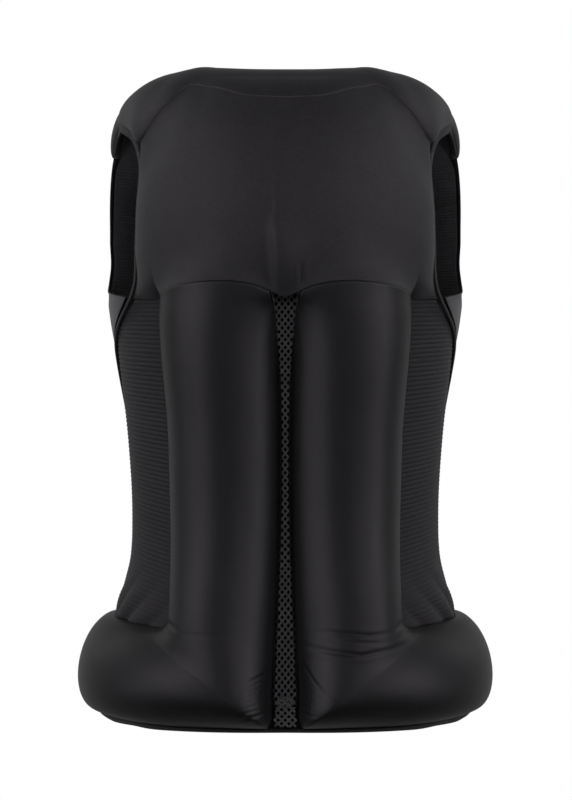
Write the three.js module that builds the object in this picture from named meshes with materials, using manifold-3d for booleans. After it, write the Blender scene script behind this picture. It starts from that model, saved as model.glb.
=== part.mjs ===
import * as THREE from "three";
import { mergeVertices } from "three/addons/utils/BufferGeometryUtils.js";
import Module from "manifold-3d";

const wasm = await Module();
wasm.setup();

// An airbag vest, inflated, with the form that it has on a wearer.
// Sizes are in millimetres and angles in degrees. The origin is the seat on the wearer's shoulders.
// The wearer faces +Y, +X is the wearer's right and +Z is up.
// A place on the vest is an angle round the wearer, 0 at the middle of the back, 90 at the
// wearer's right side and 180 at the middle of the front, and a height along the garment,
// which runs on over the shoulder to the neck. An offset is measured outward from the body.

const BACK_SQUARENESS = 2.3; // exponent of the body's sections, where 2 is an ellipse
const FRONT_SQUARENESS = 3;
const SEAM_GAP = 0.8; // clearance along a seam
const NECK_HEIGHT = 80; // garment height of the neck edge
const HEM_SEAM = -594; // where the hem band is sewn on
const HEM_BOTTOM = -607.5;
const HEM_LEAN = 5; // how far the bottom of the band turns in
const HEM_TUCK = 1; // drop from the seam to the top of the band
const STRETCH_CLOTH = 3; // side panels, with their ribs
const LINING = 2;
const LINING_CLEARANCE = 0.5; // degrees between the lining of the spine and the columns
const COLUMN_CLEARANCE = 0.45; // degrees between a column and the side panel
const BINDING_WIDTH = 4.4;
const BINDING_CLEARANCE = 1.25; // degrees from the middle of the binding to the pieces behind it
const WING_CLEARANCE = 2; // and to the front
const ZIP_EDGE = 176.3; // angle where the front panels stop
const ZIP_CLEARANCE = 0.5;
const ZIP_TOP = -92;
const ZIP_THICKNESS = 5;
const MESH_OFFSET = 18; // wearer's side of the spine mesh
const MESH_THICKNESS = 3;
const MESH_ROW = 11; // spacing of the rows of holes
const MESH_PITCH = 5.2; // spacing of the holes in a row
const MESH_RIM = 0.9;
const HOLE_WIDTH = 3.6;
const HOLE_HEIGHT = 12;
const BAND_THICKNESS = 4;

// Puts a smooth curve through each column of a table, against its first column.
function curves(heading, ...rows) {
  const [, ...names] = heading.split(" ");
  const knots = rows.map((row) => row[0]);
  const values = rows.flatMap((row) => row.slice(1));
  const track = new THREE.CubicInterpolant(knots, values, names.length);
  const at = (place) => {
    const found = track.evaluate(place);
    return Object.fromEntries(names.map((name, i) => [name, found[i]]));
  };
  at.last = knots[knots.length - 1];
  return at;
}

// The wearer's side of the vest, a level section in each row up to the armpits and a row of
// the dome over the shoulders above them.
const BODY = curves(
  "height z half_width back front",
  [-620, -620, 167, 112, 110],
  [-560, -560, 166, 111, 109],
  [-500, -500, 162, 107, 106],
  [-450, -450, 152, 100, 102],
  [-400, -400, 150, 96, 100],
  [-330, -330, 154, 97, 102],
  [-240, -240, 164, 103, 108],
  [-170, -170, 169.5, 108, 113],
  [-95, -95, 170, 108, 112],
  [-45, -45, 166, 101, 103],
  [-12, -19, 153.5, 93, 95],
  [12, -6.5, 137, 86, 88],
  [36, 0, 117, 79, 82],
  [60, 3.5, 97, 73, 78],
  [NECK_HEIGHT, 5.5, 78, 68, 75],
);

// The outer edge of the yoke: the seam over the back pad, its corner at the armhole, then the
// top of the armhole round to the front of the shoulder.
const YOKE_EDGE = curves(
  "angle height",
  [0, -17],
  [20, -13],
  [38, -2],
  [47, 1],
  [54, -18],
  [61, -44],
  [68, -31],
  [78, -20],
  [88, -15.5],
  [97, -22],
  [104.5, -48],
);

// The scalloped seam under the back pad, with a point over the spine.
const PAD_BOTTOM = curves(
  "angle height",
  [0, -189],
  [5, -185],
  [15, -177],
  [29, -174],
  [44, -179],
  [56, -191],
  [66, -191],
);

// How full the back pad is between its lower and upper seams.
const PAD = curves(
  "up edge crown columns",
  [0, 6, 50, 1],
  [0.12, 8, 52, 0.5],
  [0.3, 12, 51, 0.08],
  [0.55, 14, 50, 0],
  [0.8, 14, 47, 0],
  [1, 15, 40, 0],
);
const PAD_EDGE_ANGLE = 68;
const SPINE_DIP = 17; // angle that rounds the dip in the pad over the spine
const PAD_CORNER = 61; // angle of the pad's corner at the armhole
const PAD_STEPS = 26; // columns of the pad, which the yoke shares
const ARM_STEPS = 7; // further columns of the yoke, over an armhole

// The roll behind the neck and over the shoulder, in sections from its outer edge a to the neck b.
const YOKE = curves(
  "angle_a angle_b edge_a edge_b crown edge_angle",
  [0, 0, 55, 14, 4.5, 42],
  [20, 22, 51.8, 14, 5.2, 44],
  [37, 40, 43.8, 14, 8, 48],
  [47, 50, 35.2, 14, 12.5, 54],
  [54, 57, 27.2, 14, 16.5, 62],
  [61, 64, 16, 14, 20.5, 74],
  [68, 72, 14, 14, 19, 80],
  [78, 83, 13, 14, 16, 80],
  [88, 95, 13, 14, 15.5, 80],
  [97, 108, 13, 14, 16, 80],
  [104.5, 122, 13, 14, 16, 78],
);

// One side's column and hip roll, in sections across it from the spine or hem edge a to the outer
// edge b. The sections fan out round the corner where the column turns into the roll. A skew makes
// a section fuller towards its outer edge.
const BLADDER = curves(
  "step angle_a height_a angle_b height_b edge_a edge_b crown edge_angle scallop skew",
  [0, 5, -185, 56, -191, 24, 5, 45, 90, 1, 0.2],
  [1, 4.3, -215, 54.6, -217, 22, 5, 48, 90, 0.35, 0.25],
  [2, 3.4, -300, 54, -300, 21, 4.5, 49, 90, 0, 0.28],
  [3, 3.4, -390, 54, -385, 21, 4.5, 50, 90, 0, 0.28],
  [4, 4.4, -462, 52, -452, 21, 4.5, 51, 90, 0, 0.28],
  [5, 5.4, -520, 49.8, -496, 21, 6, 52, 90, 0, 0.28],
  [6, 6.4, -566, 50.6, -510, 22, 9, 53, 93, 0, 0.05],
  [7, 8.2, HEM_SEAM, 56, -512, 24, 9, 53, 97, 0, -0.2],
  [8, 27, HEM_SEAM, 64, -510, 23, 9, 48, 97, 0, -0.25],
  [9, 53, HEM_SEAM, 74, -507, 24, 8, 36, 97, 0, -0.15],
  [10, 79, HEM_SEAM, 86, -504.5, 21.5, 7, 27.5, 97, 0, 0],
  [11, 97, HEM_SEAM, 98, -503.5, 19.5, 7, 24, 97, 0, 0],
  [12, 109.4, HEM_SEAM, 109.4, -503.5, 17, 8, 16, 95, 0, 0],
);

// The edge of a column beside the spine mesh, its edge beside the side panel, and the edge of the
// hip roll under that panel.
const SPINE_EDGE = edgeOf(7, 0, (row) => [Math.max(row.height_a, HEM_SEAM), row.angle_a]);
const COLUMN_EDGE = edgeOf(5.5, 0, (row) => [row.height_b, row.angle_b]);
const ROLL_EDGE = edgeOf(5.5, 12, (row) => [row.angle_b, row.height_b]);

function edgeOf(first, last, pair) {
  const rows = [];
  for (let k = 0; k <= 26; k += 1) {
    const found = pair(BLADDER(THREE.MathUtils.lerp(first, last, k / 26)));
    if (!rows.length || found[0] > rows[rows.length - 1][0] + 0.05) rows.push(found);
  }
  return curves("place edge", ...rows);
}

// The line of the armhole binding down the back of the armhole and along the side seam.
const BINDING_LINE = curves(
  "height angle",
  [-594, 108],
  [-500, 108],
  [-390, 107],
  [-320, 103],
  [-276, 97.5],
  [-243, 89],
  [-222, 80.5],
  [-204, 72.5],
  [-184, 66.2],
  [-140, 63.6],
  [-95, 62.8],
  [-47, 62],
);

// How far out the binding lies, up its line and then over the armhole to the front.
const BINDING_OFFSET = curves(
  "height offset",
  [-496, 4],
  [-345, 4],
  [-243, 5],
  [-184, 6.4],
  [-95, 8.5],
  [-62, 9],
);
const BINDING_END = -502;
const BINDING_DROP = 3.2; // from the edge of the yoke to the middle of the binding

// How far the bottom of the ribbed panel under the arm is gathered, by the share of its height.
const GATHER = curves(
  "up share",
  [0, 1],
  [0.06, 0.5],
  [0.15, 0.08],
  [0.3, 0],
  [1, 0],
);
const GATHERS = 4; // folds along the bottom of a side panel
const GATHER_DEPTH = 5;
const GATHER_SLANT = -0.01; // share of the panel's width that a fold leans for each millimetre up

// The front edge of the armhole, from its bottom under the arm up to the shoulder.
const ARMHOLE_BOTTOM = -189;
const ARMHOLE_FRONT = curves(
  "height angle",
  [ARMHOLE_BOTTOM, 69.5],
  [-181, 86],
  [-163, 99.5],
  [-128, 104.5],
  [-90, 105.5],
  [-48.8, 105.2],
);

// One side of the front, in sections from its outer edge a to the zip or neckline b. Its padding
// comes in over a span of angles that starts at `padding`.
const FRONT = curves(
  "step height_a angle_b height_b edge_a edge_b crown lift padding edge_angle",
  [0, HEM_SEAM, ZIP_EDGE, HEM_SEAM, 15, 8, 8, 0, 80, 62],
  [1, -500, ZIP_EDGE, -500, 10, 9, 13, 0, 80, 62],
  [2, -390, ZIP_EDGE, -390, 6, 9, 15, 0, 80, 62],
  [3, -320, ZIP_EDGE, -325, 6, 9, 15, 0, 80, 62],
  [4, -243, ZIP_EDGE, -260, 5, 9, 15, 0.5, 80, 62],
  [5, -204, ZIP_EDGE, -225, 5, 9, 15, 2, 80, 62],
  [6, ARMHOLE_BOTTOM, ZIP_EDGE, -205, 5, 9, 15, 3, 80, 62],
  [7, -181, ZIP_EDGE, -182, 5, 9, 15, 3, 80, 62],
  [8, -163, ZIP_EDGE, -155, 7, 9, 15, 1, 78, 64],
  [9, -128, ZIP_EDGE, -120, 11, 9, 14, 0, 74, 66],
  [10, -90, 175.8, -90, 13, 9, 13, 0, 66, 70],
  [11, -62, 158, -42, 13, 10, 14, 0, 50, 76],
  [12, -48.8, 122.6, NECK_HEIGHT - 0.2, 13, 14, 16, 0, 40, 78],
);
const PADDING_SPAN = 42;

const HEM_OFFSET = curves(
  "angle offset",
  [0, 31],
  [30, 34.5],
  [50, 30],
  [65, 14],
  [80, 13],
  [95, 12.5],
  [110, 11],
  [176, 6],
);

const mix = THREE.MathUtils.lerp;
const radians = THREE.MathUtils.degToRad;

function bodyPoint(angle, height) {
  const row = BODY(height);
  const turn = radians(angle);
  const behind = Math.cos(turn) > 0;
  const depth = behind ? row.back : row.front;
  const power = behind ? BACK_SQUARENESS : FRONT_SQUARENESS;
  const across = Math.abs(Math.sin(turn) / row.half_width) ** power;
  const along = Math.abs(Math.cos(turn) / depth) ** power;
  const radius = (across + along) ** (-1 / power);
  return new THREE.Vector3(radius * Math.sin(turn), -radius * Math.cos(turn), row.z);
}

function offBody(angle, height, offset) {
  const round = bodyPoint(angle + 0.5, height).sub(bodyPoint(angle - 0.5, height));
  const up = bodyPoint(angle, height + 1).sub(bodyPoint(angle, height - 1));
  return bodyPoint(angle, height).addScaledVector(round.cross(up).normalize(), offset);
}

// A closed solid between an outer and an inner grid of points, with walls round their edges.
function shell(outer, inner) {
  const rows = outer.length;
  const columns = outer[0].length;
  const points = [...outer.flat(), ...inner.flat()];
  const under = rows * columns;
  const id = (j, i) => j * columns + i;
  const index = [];
  const quad = (a, b, c, d) => index.push(a, b, c, a, c, d);
  for (let j = 0; j + 1 < rows; j += 1) {
    for (let i = 0; i + 1 < columns; i += 1) {
      const [a, b, c, d] = [id(j, i), id(j, i + 1), id(j + 1, i + 1), id(j + 1, i)];
      quad(a, b, c, d);
      quad(under + a, under + d, under + c, under + b);
    }
  }
  const rim = [];
  for (let i = 0; i + 1 < columns; i += 1) rim.push(id(0, i));
  for (let j = 0; j + 1 < rows; j += 1) rim.push(id(j, columns - 1));
  for (let i = columns - 1; i > 0; i -= 1) rim.push(id(rows - 1, i));
  for (let j = rows - 1; j > 0; j -= 1) rim.push(id(j, 0));
  rim.forEach((a, k) => {
    const b = rim[(k + 1) % rim.length];
    quad(a, under + a, under + b, b);
  });
  let volume = 0;
  for (let k = 0; k < index.length; k += 3) {
    const [a, b, c] = [points[index[k]], points[index[k + 1]], points[index[k + 2]]];
    volume += a.dot(b.clone().cross(c));
  }
  if (volume < 0) index.reverse();
  const geometry = new THREE.BufferGeometry().setFromPoints(points);
  geometry.setIndex(index);
  geometry.computeVertexNormals();
  return geometry;
}

// A grid of shell points, `across` steps by `along` steps, from a function of the two shares.
function grid(across, along, point) {
  const rows = [];
  for (let j = 0; j <= along; j += 1) {
    const row = [];
    for (let i = 0; i <= across; i += 1) row.push(point(i / across, j / along));
    rows.push(row);
  }
  return rows;
}

// The place across a padded section and the share of its crown there. The cover leaves its two
// seams at the edge angle, so that over 90 degrees it hangs out beyond them.
function swell(share, edgeAngle) {
  const lean = radians(edgeAngle - 90);
  const sweep = Math.PI + lean - share * (Math.PI + 2 * lean);
  return {
    place: (1 + Math.cos(sweep) / Math.cos(lean)) / 2,
    rise: (Math.sin(sweep) + Math.sin(lean)) / (1 + Math.sin(lean)),
  };
}

// How much fuller a skewed section is at a place across it.
const fuller = (row, place) => 1 + row.skew * (2 * place - 1);

// The fullness of the column's top, which the lower edge of the back pad follows.
function columnTop(angle) {
  const top = BLADDER(0);
  const place = (Math.hypot(angle, SPINE_DIP) - top.angle_a) / (top.angle_b - top.angle_a);
  const inside = THREE.MathUtils.clamp(place, 0, 1);
  const rise = Math.sqrt(1 - (2 * inside - 1) ** 2);
  return mix(top.edge_a, top.edge_b, inside) + top.crown * rise * fuller(top, inside);
}

// The share of the back pad's half width at each of its columns, from -1 to 1.
// How far the pad follows the columns at an angle. It lets go sooner over the spine and at its sides.
function hollow(columns, angle) {
  const aside = Math.abs(angle);
  const spine = 1 - THREE.MathUtils.smoothstep(aside, 6, 18);
  const sharp = 2 * THREE.MathUtils.smoothstep(aside, 25, 60) + 1.5 * spine;
  return THREE.MathUtils.clamp(columns, 0, 1) ** (1 + sharp);
}

const padColumns = (share) => 2 * swell(share, PAD_EDGE_ANGLE).place - 1;

function upperBackPad() {
  const low = PAD_BOTTOM(60).height;
  const high = YOKE_EDGE(60).height;
  const face = (full) => (share, step) => {
    const up = (1 - Math.cos(Math.PI * step)) / 2;
    const row = PAD(up);
    const half = up === 1 ? PAD_CORNER : BINDING_LINE(mix(low, high, up)).angle - BINDING_CLEARANCE;
    const angle = half * padColumns(share);
    const bottom = PAD_BOTTOM(Math.abs(angle)).height + SEAM_GAP / 2;
    const top = YOKE_EDGE(Math.abs(angle)).height - SEAM_GAP / 2;
    const broad = row.edge + row.crown * swell(share, PAD_EDGE_ANGLE).rise;
    const offset = Math.max(mix(broad, columnTop(angle), hollow(row.columns, angle)), 4);
    return offBody(angle, mix(bottom, top, up), full * offset);
  };
  return shell(grid(PAD_STEPS, 11, face(1)), grid(PAD_STEPS, 11, face(0)));
}

function shoulderYoke() {
  const stations = [];
  for (let i = 0; i <= PAD_STEPS; i += 1) stations.push(PAD_CORNER * padColumns(i / PAD_STEPS));
  for (let i = 1; i <= ARM_STEPS; i += 1) {
    const angle = mix(PAD_CORNER, YOKE.last, i / ARM_STEPS);
    stations.push(angle);
    stations.unshift(-angle);
  }
  const last = stations.length - 1;
  const face = (full) => (share, step) => {
    const station = stations[Math.round(step * last)];
    const row = YOKE(Math.abs(station));
    const { place, rise } = swell(share, row.edge_angle);
    const low = YOKE_EDGE(Math.abs(station)).height + SEAM_GAP / 2;
    const angle = Math.sign(station) * mix(Math.abs(station), row.angle_b, place);
    const offset = mix(row.edge_a, row.edge_b, place) + row.crown * rise;
    return offBody(angle, mix(low, NECK_HEIGHT, place), full * offset);
  };
  return shell(grid(5, last, face(1)), grid(5, last, face(0)));
}

function backBladder() {
  const scallop = (angle, place) => {
    const top = BLADDER(0);
    return PAD_BOTTOM(angle).height - mix(top.height_a, top.height_b, place);
  };
  const spot = (row, place) => {
    const angle = mix(row.angle_a, row.angle_b, place);
    const bow = row.scallop * scallop(angle, THREE.MathUtils.clamp(place, 0, 1));
    const low = Math.max(row.height_a, HEM_SEAM);
    return { angle, height: mix(low, row.height_b, place) + bow - SEAM_GAP / 2 };
  };
  const outer = grid(11, 27, (share, step) => {
    const row = BLADDER(step * BLADDER.last);
    const { place, rise } = swell(share, row.edge_angle);
    const { angle, height } = spot(row, place);
    const crown = row.crown * fuller(row, place);
    return offBody(angle, height, mix(row.edge_a, row.edge_b, place) + crown * rise);
  });
  const inner = grid(11, 27, (share, step) => {
    const { angle, height } = spot(BLADDER(step * BLADDER.last), share);
    return offBody(angle, height, 0);
  });
  return shell(outer, inner);
}

function sidePanel() {
  const top = PAD_BOTTOM(60).height - SEAM_GAP;
  const face = (cloth) => (across, step) => {
    const up = step ** 1.3;
    const level = mix(ROLL_EDGE(70).edge, top, up);
    const start = COLUMN_EDGE(level).edge + COLUMN_CLEARANCE;
    const angle = mix(start, BINDING_LINE(level).angle - BINDING_CLEARANCE, across);
    const height = mix(ROLL_EDGE(angle).edge + SEAM_GAP, top, up);
    const lean = GATHER_SLANT * (height - ROLL_EDGE(angle).edge);
    const wave = (1 - Math.cos(2 * Math.PI * GATHERS * (across - lean))) / 2;
    const still = Math.sin(Math.PI * across);
    return offBody(angle, height, cloth + GATHER_DEPTH * GATHER(up).share * wave * still);
  };
  return shell(grid(13, 9, face(STRETCH_CLOTH)), grid(13, 9, face(0)));
}

function frontSpot(row, place) {
  const below = row.height_a < ARMHOLE_BOTTOM;
  const seam = BINDING_LINE(row.height_a).angle + WING_CLEARANCE;
  const start = below ? seam : ARMHOLE_FRONT(row.height_a).angle;
  return {
    angle: mix(start, Math.min(row.angle_b, ZIP_EDGE), place),
    height: mix(Math.max(row.height_a, HEM_SEAM), row.height_b, place),
    lift: row.lift * (1 - place) ** 4,
  };
}

const FRONT_ACROSS = 6;
const FRONT_ALONG = 20;

function frontPanel() {
  const outer = grid(FRONT_ACROSS, FRONT_ALONG, (share, step) => {
    const row = FRONT(step * FRONT.last);
    const { angle, height, lift } = frontSpot(row, share);
    const full = THREE.MathUtils.smoothstep(angle, row.padding, row.padding + PADDING_SPAN);
    const crown = row.crown * full;
    const { rise } = swell(share, row.edge_angle);
    return offBody(angle, height, mix(row.edge_a, row.edge_b, share) + crown * rise + lift);
  });
  const inner = grid(FRONT_ACROSS, FRONT_ALONG, (share, step) => {
    const { angle, height, lift } = frontSpot(FRONT(step * FRONT.last), share);
    return offBody(angle, height, LINING + SEAM_GAP + lift);
  });
  return shell(outer, inner);
}

function frontLining() {
  const face = (offset) => (share, step) => {
    const row = FRONT(step * FRONT.last);
    const { angle, height, lift } = frontSpot(row, share);
    return offBody(angle, height, offset + lift);
  };
  const build = (offset) => grid(FRONT_ACROSS, FRONT_ALONG, face(offset));
  return shell(build(LINING), build(0));
}

// A closed mesh as a solid that can be cut.
function solidOf(geometry) {
  const bare = new THREE.BufferGeometry();
  bare.setAttribute("position", geometry.getAttribute("position"));
  bare.setIndex(geometry.getIndex());
  const merged = mergeVertices(bare, 1e-4);
  const vertProperties = merged.getAttribute("position").array;
  const triVerts = new Uint32Array(merged.getIndex().array);
  return new wasm.Manifold(new wasm.Mesh({ numProp: 3, vertProperties, triVerts }));
}

function geometryOf(solid) {
  const { vertProperties, triVerts } = solid.getMesh();
  const geometry = new THREE.BufferGeometry();
  geometry.setAttribute("position", new THREE.BufferAttribute(vertProperties, 3));
  geometry.setIndex(new THREE.BufferAttribute(triVerts, 1));
  geometry.computeVertexNormals();
  return geometry;
}

// A strip of coarse net between the columns, pierced by diamonds in staggered rows.
function spineMesh() {
  const low = HEM_SEAM;
  const high = PAD_BOTTOM(0).height - SEAM_GAP;
  const rows = Math.floor((high - low) / MESH_ROW);
  const degree = (height) => radians(1) * BODY(height).back;
  const half = (height) => SPINE_EDGE(height).edge * degree(height) - SEAM_GAP;
  const spot = (x, height, offset) => offBody(x / degree(height), height, MESH_OFFSET + offset);
  const face = (offset) => (across, up) => {
    const height = mix(low, high, up ** 1.6);
    return spot(mix(-1, 1, across) * half(height), height, offset);
  };
  let net = solidOf(shell(grid(1, 18, face(MESH_THICKNESS)), grid(1, 18, face(0))));
  for (let j = 1; j < rows; j += 1) {
    const height = mix(low, high, j / rows);
    const room = half(height) - MESH_RIM - HOLE_WIDTH / 2;
    for (let k = -3; k <= 3; k += 1) {
      const x = (k + (j % 2) / 2) * MESH_PITCH;
      if (Math.abs(x) > room) continue;
      const diamond = (offset) => [
        [spot(x - HOLE_WIDTH / 2, height, offset), spot(x, height - HOLE_HEIGHT / 2, offset)],
        [spot(x, height + HOLE_HEIGHT / 2, offset), spot(x + HOLE_WIDTH / 2, height, offset)],
      ];
      net = net.subtract(solidOf(shell(diamond(MESH_THICKNESS + 1), diamond(-1))));
    }
  }
  return geometryOf(net);
}

// The cloth behind the net, on the wearer's side, which shows dark through its holes.
function spineLining() {
  const face = (offset) => (across, up) => {
    const height = mix(HEM_SEAM, PAD_BOTTOM(0).height - SEAM_GAP, up ** 1.6);
    const half = SPINE_EDGE(height).edge - LINING_CLEARANCE;
    return offBody(mix(-half, half, across), height, offset);
  };
  return shell(grid(1, 18, face(LINING)), grid(1, 18, face(0)));
}

function armholeBinding() {
  const route = [];
  for (let k = 0; k <= 30; k += 1) {
    const height = mix(BINDING_END, -62, k / 30);
    route.push(offBody(BINDING_LINE(height).angle, height, BINDING_OFFSET(height).offset));
  }
  for (let angle = 66; angle <= 102; angle += 6) {
    const slope = YOKE_EDGE(angle + 1).height - YOKE_EDGE(angle - 1).height;
    const height = YOKE_EDGE(angle).height - BINDING_DROP * Math.hypot(1, slope / 5.6);
    route.push(offBody(angle, height, BINDING_OFFSET(-62).offset));
  }
  const section = new THREE.Shape();
  section.absarc(0, 0, BINDING_WIDTH / 2, 0, 2 * Math.PI, false);
  return new THREE.ExtrudeGeometry(section, {
    extrudePath: new THREE.CatmullRomCurve3(route),
    steps: 28,
    curveSegments: 3,
    bevelEnabled: false,
  });
}

function frontZip() {
  const reach = 180 - ZIP_EDGE - ZIP_CLEARANCE;
  const face = (offset) => (across, up) => {
    const height = mix(HEM_BOTTOM, ZIP_TOP, up);
    return offBody(180 + mix(-reach, reach, across), height, offset);
  };
  return shell(grid(2, 12, face(3 + ZIP_THICKNESS)), grid(2, 12, face(3)));
}

function hemBand() {
  const end = ZIP_EDGE - 1;
  const face = (cloth) => (across, up) => {
    const angle = mix(-end, end, across);
    const height = mix(HEM_BOTTOM, HEM_SEAM - HEM_TUCK, up);
    const lean = HEM_LEAN * (1 - up);
    return offBody(angle, height, HEM_OFFSET(Math.abs(angle)).offset + cloth - lean);
  };
  return shell(grid(42, 1, face(BAND_THICKNESS)), grid(42, 1, face(0)));
}

const cloth = (color, roughness) => new THREE.MeshStandardMaterial({ color, roughness, metalness: 0 });
const COVER = cloth(0x2b2a2d, 0.62);
const RIB_KNIT = cloth(0x232326, 0.8);
const NET = cloth(0x1a1a1c, 0.85);
const EDGING = cloth(0x3a393b, 0.7);
const CLOSURE = cloth(0x151516, 0.5);

const vest = new THREE.Group();
vest.name = "airbag_vest";

function add(name, geometry, material) {
  const piece = new THREE.Mesh(geometry, material);
  piece.name = name;
  vest.add(piece);
  return piece;
}

function addPair(name, geometry, material) {
  add(`${name}_right`, geometry, material);
  add(`${name}_left`, geometry, material).scale.x = -1;
}

add("upper_back_pad", upperBackPad(), COVER);
add("shoulder_yoke", shoulderYoke(), COVER);
addPair("back_bladder", backBladder(), COVER);
add("spine_mesh", spineMesh(), NET);
add("spine_lining", spineLining(), NET);
addPair("side_panel", sidePanel(), RIB_KNIT);
addPair("armhole_binding", armholeBinding(), EDGING);
addPair("front_panel", frontPanel(), COVER);
addPair("front_lining", frontLining(), NET);
add("front_zip", frontZip(), CLOSURE);
add("hem_band", hemBand(), EDGING);

export default vest;
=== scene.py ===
import math
from types import SimpleNamespace

import bpy
import numpy as np
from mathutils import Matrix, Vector


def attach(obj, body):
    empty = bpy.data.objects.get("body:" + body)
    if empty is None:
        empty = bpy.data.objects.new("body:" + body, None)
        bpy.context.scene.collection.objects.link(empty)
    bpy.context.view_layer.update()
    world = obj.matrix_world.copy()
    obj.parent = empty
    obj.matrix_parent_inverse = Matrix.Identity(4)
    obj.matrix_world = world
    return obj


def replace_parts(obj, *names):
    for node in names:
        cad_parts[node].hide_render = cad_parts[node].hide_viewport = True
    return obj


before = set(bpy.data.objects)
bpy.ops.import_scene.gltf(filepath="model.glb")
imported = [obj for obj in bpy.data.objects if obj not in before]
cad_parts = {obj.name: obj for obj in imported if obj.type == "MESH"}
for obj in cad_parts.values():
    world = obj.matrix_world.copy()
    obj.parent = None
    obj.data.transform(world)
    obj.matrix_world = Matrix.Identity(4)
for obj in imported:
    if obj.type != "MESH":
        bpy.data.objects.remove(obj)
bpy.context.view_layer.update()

# An airbag vest, seen from behind. Lengths are in millimetres and angles in degrees until a mesh
# is made in metres. A place is an angle round the wearer, 0 at the middle of the back, and a height
# along the garment. An offset is measured outward from the wearer's side.

MM = 0.001
BACK_SQUARENESS = 2.3
FRONT_SQUARENESS = 3
NECK_HEIGHT = 80
HEM_SEAM = -594
ROLL_BOTTOM = -603  # seam under the hip roll, behind the wearer
HEM_BOTTOM = -607.5
HEM_LEAN = 5  # how far the band's bottom turns in
HEM_TUCK = 1
STRETCH_CLOTH = 3
LINING = 2
BINDING_CLEARANCE = 1.25
WING_CLEARANCE = 2
ZIP_EDGE = 176.3
ZIP_CLEARANCE = 0.02
ZIP_TOP = -92
ZIP_THICKNESS = 5
MESH_OFFSET = 18
MESH_THICKNESS = 3
BAND_THICKNESS = 4
PAD_EDGE_ANGLE = 68
PAD_CORNER = 61
SPINE_DIP = 17
GATHERS = 5
GATHER_DEPTH = 6.5
GATHER_SLANT = -0.006
ARMHOLE_BOTTOM = -189
PADDING_SPAN = 42
BINDING_END = -502
BINDING_DROP = 3.2
SEAM = 0.2  # visible clearance along a seam
SEAM_GAP = 0.8  # clearance between the front panel and its lining
LIFT_FADE = 4  # how quickly a lifted edge falls back to the wearer
EDGE_STEPS = 26  # samples along an edge of the bladder
EDGE_RISE = 0.05  # least distance between two of them
BACK_STRIDE = 3  # how many times coarser the back of a piece is than its front


def mix(a, b, share):
    return a + (b - a) * share


def spline(knots, values, place):
    """A smooth curve through the values at the knots, held at its ends."""
    place = np.clip(np.asarray(place, float), knots[0], knots[-1])
    last = len(knots) - 1
    right = np.clip(np.searchsorted(knots, place, side="right"), 1, last)
    left = right - 1
    before = np.where(left > 0, left - 1, right)
    after = np.where(right < last, right + 1, left)
    start, end = knots[left], knots[right]
    w_before = 0.5 * (end - start) / (start - knots[before])
    w_after = 0.5 * (end - start) / (knots[after] - end)
    p = (place - start) / (end - start)
    weights = (
        (before, -w_before * p**3 + 2 * w_before * p**2 - w_before * p),
        (left, (1 + w_before) * p**3 - (1.5 + 2 * w_before) * p**2 + (w_before - 0.5) * p + 1),
        (right, -(1 + w_after) * p**3 + (1.5 + w_after) * p**2 + 0.5 * p),
        (after, w_after * p**3 - w_after * p**2),
    )
    return sum(weight[..., None] * values[index] for index, weight in weights)


class Table:
    """Smooth curves through the columns of a table, against its first column."""

    def __init__(self, heading, *rows):
        self.names = heading.split()[1:]
        data = np.array(rows, float)
        self.knots, self.values = data[:, 0], data[:, 1:]
        self.last = self.knots[-1]

    def __call__(self, place):
        found = spline(self.knots, self.values, place)
        return SimpleNamespace(**{name: found[..., i] for i, name in enumerate(self.names)})


BODY = Table(
    "height z half_width back front",
    (-620, -620, 167, 112, 110), (-560, -560, 166, 111, 109), (-500, -500, 162, 107, 106),
    (-450, -450, 152, 100, 102), (-400, -400, 150, 96, 100), (-330, -330, 154, 97, 102),
    (-240, -240, 164, 103, 108), (-170, -170, 169.5, 108, 113), (-95, -95, 170, 108, 112),
    (-45, -45, 166, 101, 103), (-12, -19, 153.5, 93, 95), (12, -6.5, 137, 86, 88),
    (36, 0, 117, 79, 82), (60, 3.5, 97, 73, 78), (NECK_HEIGHT, 5.5, 78, 68, 75),
)
YOKE_EDGE = Table(
    "angle height", (0, -17), (20, -13), (38, -2), (47, 1), (54, -18), (61, -44), (68, -31),
    (78, -20), (88, -15.5), (97, -22), (104.5, -48),
)
PAD_BOTTOM = Table(
    "angle height", (0, -189), (5, -185), (15, -177), (29, -174), (44, -179), (56, -191), (66, -191),
)
PAD = Table(
    "up edge crown columns", (0, 6, 50, 1), (0.12, 8, 52, 0.5), (0.3, 12, 51, 0.08),
    (0.55, 14, 50, 0), (0.8, 14, 47, 0), (1, 15, 40, 0),
)
YOKE = Table(
    "angle_a angle_b edge_a edge_b crown edge_angle lift",
    (0, 0, 55, 14, 4.5, 42, 0), (20, 22, 51.8, 14, 5.2, 44, 0), (37, 40, 43.8, 14, 8, 48, 0),
    (47, 50, 35.2, 14, 12.5, 54, 0), (54, 57, 27.2, 14, 16.5, 62, 0), (61, 64, 16, 14, 20.5, 74, 0),
    (68, 72, 14, 14, 19, 80, 0), (78, 83, 13, 14, 16, 80, 0), (88, 95, 13, 14, 15.5, 80, 3),
    (97, 108, 13, 14, 16, 80, 5), (104.5, 122, 13, 14, 16, 78, 5),
)
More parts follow.
